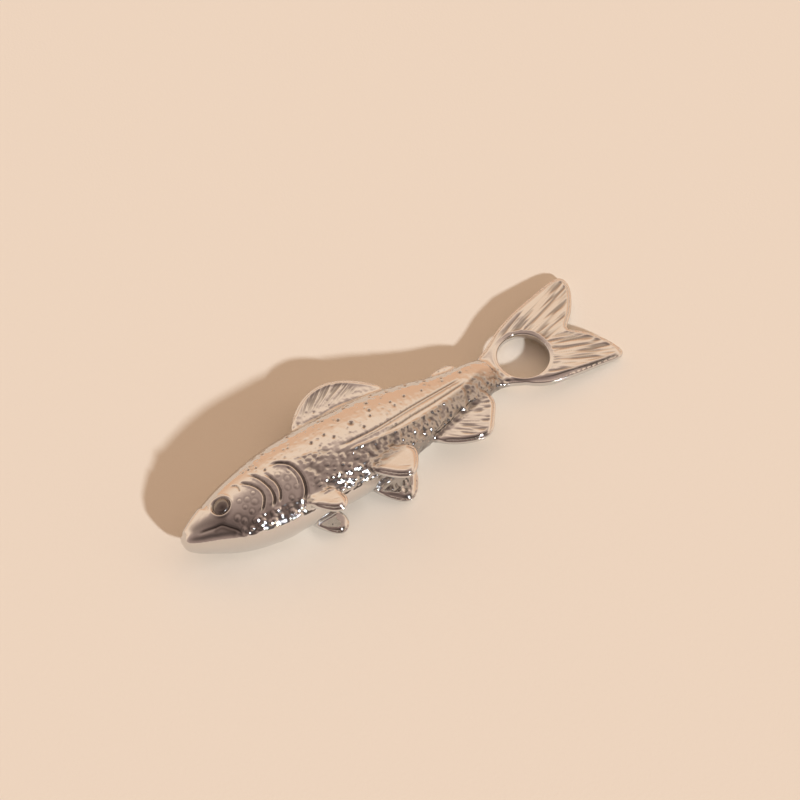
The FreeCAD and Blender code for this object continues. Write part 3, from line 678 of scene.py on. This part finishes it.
def add_relief(points, normals, edge):
    """Move the points along the skin, and return how dark each one is."""
    swelling_width = 0.8
    facing_down = -0.6
    underside_top = 9.0
    near_floor = (0.3, 1.2)
    round_hole = (HOLE_RADIUS + 0.3, HOLE_RADIUS + 1.2)
    from_nose = points - np.array([NOSE_X, 0.0, 0.0])
    places = from_nose[:, :2].copy()
    level = np.abs(normals[:, 2])
    off_hole = smooth_step(*round_hole, distance_to(places, HOLE_CENTRE))
    underside = (normals[:, 2] < facing_down) & (points[:, 2] < underside_top)
    clear = np.where(underside, 0.0, 1.0) * smooth_step(*near_floor, points[:, 2]) * off_hole
    body = body_share(from_nose)
    skin = body * clear
    flank = skin * smooth_step(0.02, 0.22, level)
    off_body = (1 - body) * clear
    flat = off_body * smooth_step(0.5, 0.85, level)
    inner = smooth_step(0.9, 1.5, edge)

    relief = Relief(len(points))
    add_grooves(relief, places, flank)
    add_ridges(relief, places, skin * smooth_step(0.05, 0.6, level))
    add_marks(relief, places, flank)
    add_spots(relief, from_nose, skin)
    add_texture(relief, from_nose, skin)
    add_cheek_scales(relief, from_nose, skin)
    add_eye(relief, places, flank)
    add_unevenness(relief, from_nose, skin)
    add_fin_strokes(relief, places, flat, inner)
    add_fin_rims(relief, normals, off_body, flat, edge)
    add_right_fin_pebbles(relief, from_nose, flat, inner)

    moved = points + normals * relief.height[:, None]
    moved[:, 1] -= swelling_width * tail_swelling(from_nose, normals, off_hole)
    return moved, np.clip(relief.dark, 0.0, 1.0)


def build_casting(node):
    points, triangles = node_triangles(node)
    field, low = distance_field(points, triangles)
    field = blur(field, ROUNDING / VOXEL)
    skin, quads = field_surface(field, low)
    normals = slope(field, low, skin)
    normals /= np.linalg.norm(normals, axis=1)[:, None]
    edge = edge_distance_at(plan_edge_distance(field, low), low, skin)
    moved, dark = add_relief(skin, normals, edge)
    moved[:, 2] = np.maximum(moved[:, 2], 0.0)

    mesh = bpy.data.meshes.new("trout_skin")
    mesh.vertices.add(len(moved))
    mesh.vertices.foreach_set("co", (moved * MM).ravel())
    mesh.loops.add(quads.size)
    mesh.loops.foreach_set("vertex_index", quads[:, ::-1].ravel().astype(np.int32))
    mesh.polygons.add(len(quads))
    mesh.polygons.foreach_set("loop_start", np.arange(0, quads.size, 4, dtype=np.int32))
    mesh.update(calc_edges=True)
    mesh.validate()
    mesh.shade_smooth()
    # The dark mark: the dark finish in hollows, plus painted dark reflection on the snout's side,
    # the lip band and the eye's ball.
    layer = mesh.attributes.new("patina_and_painted_reflection", "FLOAT", "POINT")
    layer.data.foreach_set("value", dark.astype(np.float32))
    skin_object = bpy.data.objects.new("trout_skin", mesh)
    bpy.context.scene.collection.objects.link(skin_object)
    print("trout_skin:", len(moved), "points", len(quads), "quads")
    return skin_object


# ---------------------------------------------------------------- materials

# Colours, and the roughness of bright plate (least, most) and what the full dark mark adds to it.
# The dark colour serves the dark finish in hollows, the darkened textured flank, and painted dark
# reflection on the snout's side, the lip band and the eye's ball.
PLATE_COLOUR = (0.70, 0.69, 0.68, 1.0)
TARNISH_AND_PAINTED_REFLECTION_COLOUR = (0.13, 0.11, 0.10, 1.0)
PLATE_ROUGHNESS = (0.04, 0.08)
DARK_MARK_ROUGHNESS = 0.12
LIFTER_COLOUR = (0.60, 0.60, 0.61, 1.0)
SCREW_COLOUR = (0.52, 0.52, 0.53, 1.0)
PAPER_COLOUR = (0.86, 0.78, 0.65, 1.0)
EVEN = (1.0, 1.0, 1.0)


def new_material(name):
    material = bpy.data.materials.new(name)
    material.use_nodes = True
    tree = material.node_tree
    return material, tree, tree.nodes["Principled BSDF"]


def link(tree, source, target):
    tree.links.new(source, target)


def noise(tree, scale, detail, stretch=EVEN):
    place = tree.nodes.new("ShaderNodeTexCoord")
    mapping = tree.nodes.new("ShaderNodeMapping")
    mapping.inputs["Scale"].default_value = stretch
    texture = tree.nodes.new("ShaderNodeTexNoise")
    texture.inputs["Scale"].default_value = scale
    texture.inputs["Detail"].default_value = detail
    link(tree, place.outputs["Object"], mapping.inputs["Vector"])
    link(tree, mapping.outputs["Vector"], texture.inputs["Vector"])
    return texture.outputs["Fac"]


def remap(tree, source, from_range, to_range):
    node = tree.nodes.new("ShaderNodeMapRange")
    ends = ("From Min", "From Max", "To Min", "To Max")
    for end, value in zip(ends, (*from_range, *to_range)):
        node.inputs[end].default_value = value
    link(tree, source, node.inputs["Value"])
    return node.outputs["Result"]


def add_bump(tree, shader, height, strength, distance):
    """Bump the shader's surface, with the distance in millimetres."""
    bump = tree.nodes.new("ShaderNodeBump")
    bump.inputs["Strength"].default_value = strength
    bump.inputs["Distance"].default_value = distance * MM
    link(tree, height, bump.inputs["Height"])
    link(tree, bump.outputs["Normal"], shader.inputs["Normal"])


def plated_metal():
    """Bright polished plate, dulled and darkened where the skin is recessed, and darkened as
    painted dark reflection on the snout's side, the lip band and the eye's ball.
    """
    material, tree, shader = new_material("plated_casting_look")
    shader.inputs["Metallic"].default_value = 1.0
    patina_and_painted_reflection = tree.nodes.new("ShaderNodeAttribute")
    patina_and_painted_reflection.attribute_name = "patina_and_painted_reflection"
    tint = tree.nodes.new("ShaderNodeMix")
    tint.data_type = "RGBA"
    tint.inputs["A"].default_value = PLATE_COLOUR
    tint.inputs["B"].default_value = TARNISH_AND_PAINTED_REFLECTION_COLOUR
    link(tree, patina_and_painted_reflection.outputs["Fac"], tint.inputs["Factor"])
    link(tree, tint.outputs["Result"], shader.inputs["Base Color"])
    smear = remap(tree, noise(tree, scale=260.0, detail=3.0), (0.35, 0.65), PLATE_ROUGHNESS)
    rough = tree.nodes.new("ShaderNodeMath")
    rough.operation = "MULTIPLY_ADD"
    rough.inputs[1].default_value = DARK_MARK_ROUGHNESS
    link(tree, patina_and_painted_reflection.outputs["Fac"], rough.inputs[0])
    link(tree, smear, rough.inputs[2])
    link(tree, rough.outputs["Value"], shader.inputs["Roughness"])
    grain = noise(tree, scale=900.0, detail=2.0)
    add_bump(tree, shader, grain, strength=0.20, distance=0.08)
    return material


def brushed_metal(name, colour, stretch, base_roughness):
    """Steel with a grain that runs in the direction in which the noise is stretched."""
    smoother = 0.06
    rougher = 0.12
    material, tree, shader = new_material(name)
    shader.inputs["Metallic"].default_value = 1.0
    shader.inputs["Base Color"].default_value = colour
    grain = noise(tree, scale=900.0, detail=3.0, stretch=stretch)
    roughness = remap(tree, grain, (0.0, 1.0),
                      (base_roughness - smoother, base_roughness + rougher))
    link(tree, roughness, shader.inputs["Roughness"])
    add_bump(tree, shader, grain, strength=0.4, distance=0.05)
    return material


def paper():
    material, tree, shader = new_material("pale_paper")
    shader.inputs["Roughness"].default_value = 0.95
    shader.inputs["Specular IOR Level"].default_value = 0.1
    shader.inputs["Base Color"].default_value = PAPER_COLOUR
    grain = noise(tree, scale=1400.0, detail=4.0)
    add_bump(tree, shader, grain, strength=0.25, distance=0.12)
    return material


# ---------------------------------------------------------------- stage, light and camera

# The surroundings are bright and warm, and darken round this direction.
DARK_SIDE = (-0.52, -0.42, 0.744)
# Their colour, from the direction opposite to that one (0) to that one itself (1).
SURROUNDINGS = [
    (0.00, (0.76, 0.44, 0.27)), (0.36, (0.72, 0.45, 0.29)), (0.53, (0.84, 0.64, 0.48)),
    (0.62, (0.84, 0.65, 0.50)), (0.68, (0.58, 0.43, 0.345)), (0.74, (0.42, 0.31, 0.255)),
    (0.86, (0.34, 0.245, 0.205)), (0.94, (0.23, 0.16, 0.135)), (1.00, (0.09, 0.064, 0.055)),
]
# The room behind the key light is dimmed to this share, over this range of directions.
NEAR_SIDE = (0.10, -0.93, 0.354)
NEAR_SIDE_SHARE = 0.22
NEAR_SIDE_RANGE = (0.80, 0.95)
SURROUNDINGS_STRENGTH = 1.32

KEY_TOWARD = (0.110, -0.896, 0.4305)
KEY_STRENGTH = 3.5
KEY_WIDTH_DEGREES = 3.0
KEY_COLOUR = (0.84, 0.88, 0.96)

# The floor lies a little below the fish, so that the two don't share a plane.
FLOOR_HALF_M = 1.5
FLOOR_GAP = 0.02

# The camera's own right and up as directions in the row frame, and where it stands.
CAMERA_RIGHT = (0.83743, -0.54655, 0.0)
CAMERA_UP = (0.45837, 0.70233, 0.54464)
CAMERA_PLACE = (-133.527, -205.317, 392.433)
CAMERA_LENS_MM = 85.0
CAMERA_SENSOR_MM = 36.0
CAMERA_NEAREST_M = 0.01


def build_floor():
    half = FLOOR_HALF_M
    corners = [(-half, -half, 0.0), (half, -half, 0.0), (half, half, 0.0), (-half, half, 0.0)]
    mesh = bpy.data.meshes.new("floor")
    mesh.from_pydata(corners, [], [(0, 1, 2, 3)])
    mesh.materials.append(paper())
    floor = bpy.data.objects.new("floor", mesh)
    floor.location.z = -FLOOR_GAP * MM
    bpy.context.scene.collection.objects.link(floor)


def facing(tree, place, direction):
    """How nearly the surroundings' own direction is the given one, from -1 to 1."""
    lean = tree.nodes.new("ShaderNodeVectorMath")
    lean.operation = "DOT_PRODUCT"
    lean.inputs[1].default_value = direction
    link(tree, place.outputs["Generated"], lean.inputs[0])
    return lean.outputs["Value"]


def build_key_light():
    key = bpy.data.lights.new("key", "SUN")
    key.energy = KEY_STRENGTH
    key.angle = math.radians(KEY_WIDTH_DEGREES)
    key.color = KEY_COLOUR
    lamp = bpy.data.objects.new("key", key)
    lamp.rotation_euler = Vector(KEY_TOWARD).to_track_quat("Z", "Y").to_euler()
    bpy.context.scene.collection.objects.link(lamp)


def build_surroundings():
    world = bpy.data.worlds.new("studio")
    bpy.context.scene.world = world
    world.use_nodes = True
    tree = world.node_tree
    background = tree.nodes["Background"]
    background.inputs["Strength"].default_value = SURROUNDINGS_STRENGTH
    place = tree.nodes.new("ShaderNodeTexCoord")
    share = remap(tree, facing(tree, place, DARK_SIDE), (-1.0, 1.0), (0.0, 1.0))
    ramp = tree.nodes.new("ShaderNodeValToRGB")
    elements = ramp.color_ramp.elements
    while len(elements) < len(SURROUNDINGS):
        elements.new(0.5)
    for element, (position, colour) in zip(elements, SURROUNDINGS):
        element.position = position
        element.color = (*colour, 1.0)
    link(tree, share, ramp.inputs["Fac"])
    shade = remap(tree, facing(tree, place, NEAR_SIDE), NEAR_SIDE_RANGE, (1.0, NEAR_SIDE_SHARE))
    dimmed = tree.nodes.new("ShaderNodeVectorMath")
    dimmed.operation = "SCALE"
    link(tree, ramp.outputs["Color"], dimmed.inputs[0])
    link(tree, shade, dimmed.inputs["Scale"])
    link(tree, dimmed.outputs["Vector"], background.inputs["Color"])


def build_camera():
    right = Vector(CAMERA_RIGHT)
    up = Vector(CAMERA_UP)
    turn = Matrix((right, up, right.cross(up))).transposed().to_4x4()
    data = bpy.data.cameras.new("camera")
    data.lens = CAMERA_LENS_MM
    data.sensor_width = CAMERA_SENSOR_MM
    data.clip_start = CAMERA_NEAREST_M
    camera = bpy.data.objects.new("camera", data)
    camera.matrix_world = Matrix.Translation(Vector(CAMERA_PLACE) * MM) @ turn
    bpy.context.scene.collection.objects.link(camera)
    bpy.context.scene.camera = camera


# ---------------------------------------------------------------- the model

casting = build_casting(nodes["fish_casting"])
casting.data.materials.append(plated_metal())
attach(casting, "root")
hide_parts("fish_casting")

steel = brushed_metal("lifter_steel_look", LIFTER_COLOUR, (0.06, 1.0, 1.0), 0.30)
screw_steel = brushed_metal("screw_steel_look", SCREW_COLOUR, (1.0, 1.0, 0.2), 0.34)
for name, material in (("cap_lifter", steel), ("lifter_screws", screw_steel)):
    nodes[name].data.materials.clear()
    nodes[name].data.materials.append(material)

build_floor()
build_key_light()
build_surroundings()
build_camera()
bpy.context.scene.view_settings.view_transform = "Standard"
